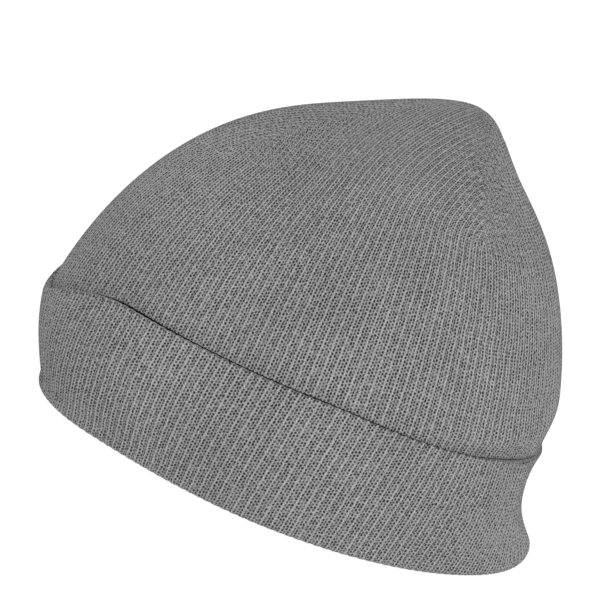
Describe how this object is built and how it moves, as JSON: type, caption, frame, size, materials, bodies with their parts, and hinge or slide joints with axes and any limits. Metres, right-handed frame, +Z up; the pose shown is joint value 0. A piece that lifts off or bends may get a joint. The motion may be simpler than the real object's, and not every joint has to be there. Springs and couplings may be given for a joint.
{
  "type": "knit beanie",
  "caption": "Fine rib-knit beanie with a double wall, a rounded crown that comes to a small soft tip and a turned-up cuff.",
  "frame": {"origin": "middle of the head opening, at the height the beanie rests on", "axes": "+Z up toward the crown's tip, -X toward the wearer's front, +Y toward the wearer's right"},
  "size_m": [0.2217, 0.1758, 0.1659],
  "materials": {
    "knit": "matte",
    "lining_knit": "matte",
    "thread": "matte"
  },
  "bodies": {
    "cuff": {"cuff_outer_ply": "knit", "cuff_inner_ply": "knit", "cuff_top_fold": "knit", "brim_fold": "knit"},
    "crown": {"crown_shell": "knit", "crown_lining": "lining_knit", "crown_dart_seams": "thread", "lining_dart_seams": "thread", "crown_closing_stitch": "thread", "lining_closing_stitch": "thread"}
  },
  "joints": [
    {"name": "cuff_turn_down", "type": "slide", "parent": "cuff", "child": "crown", "axis": [0, 0, 1], "range_m": [0, 0.028]}
  ]
}
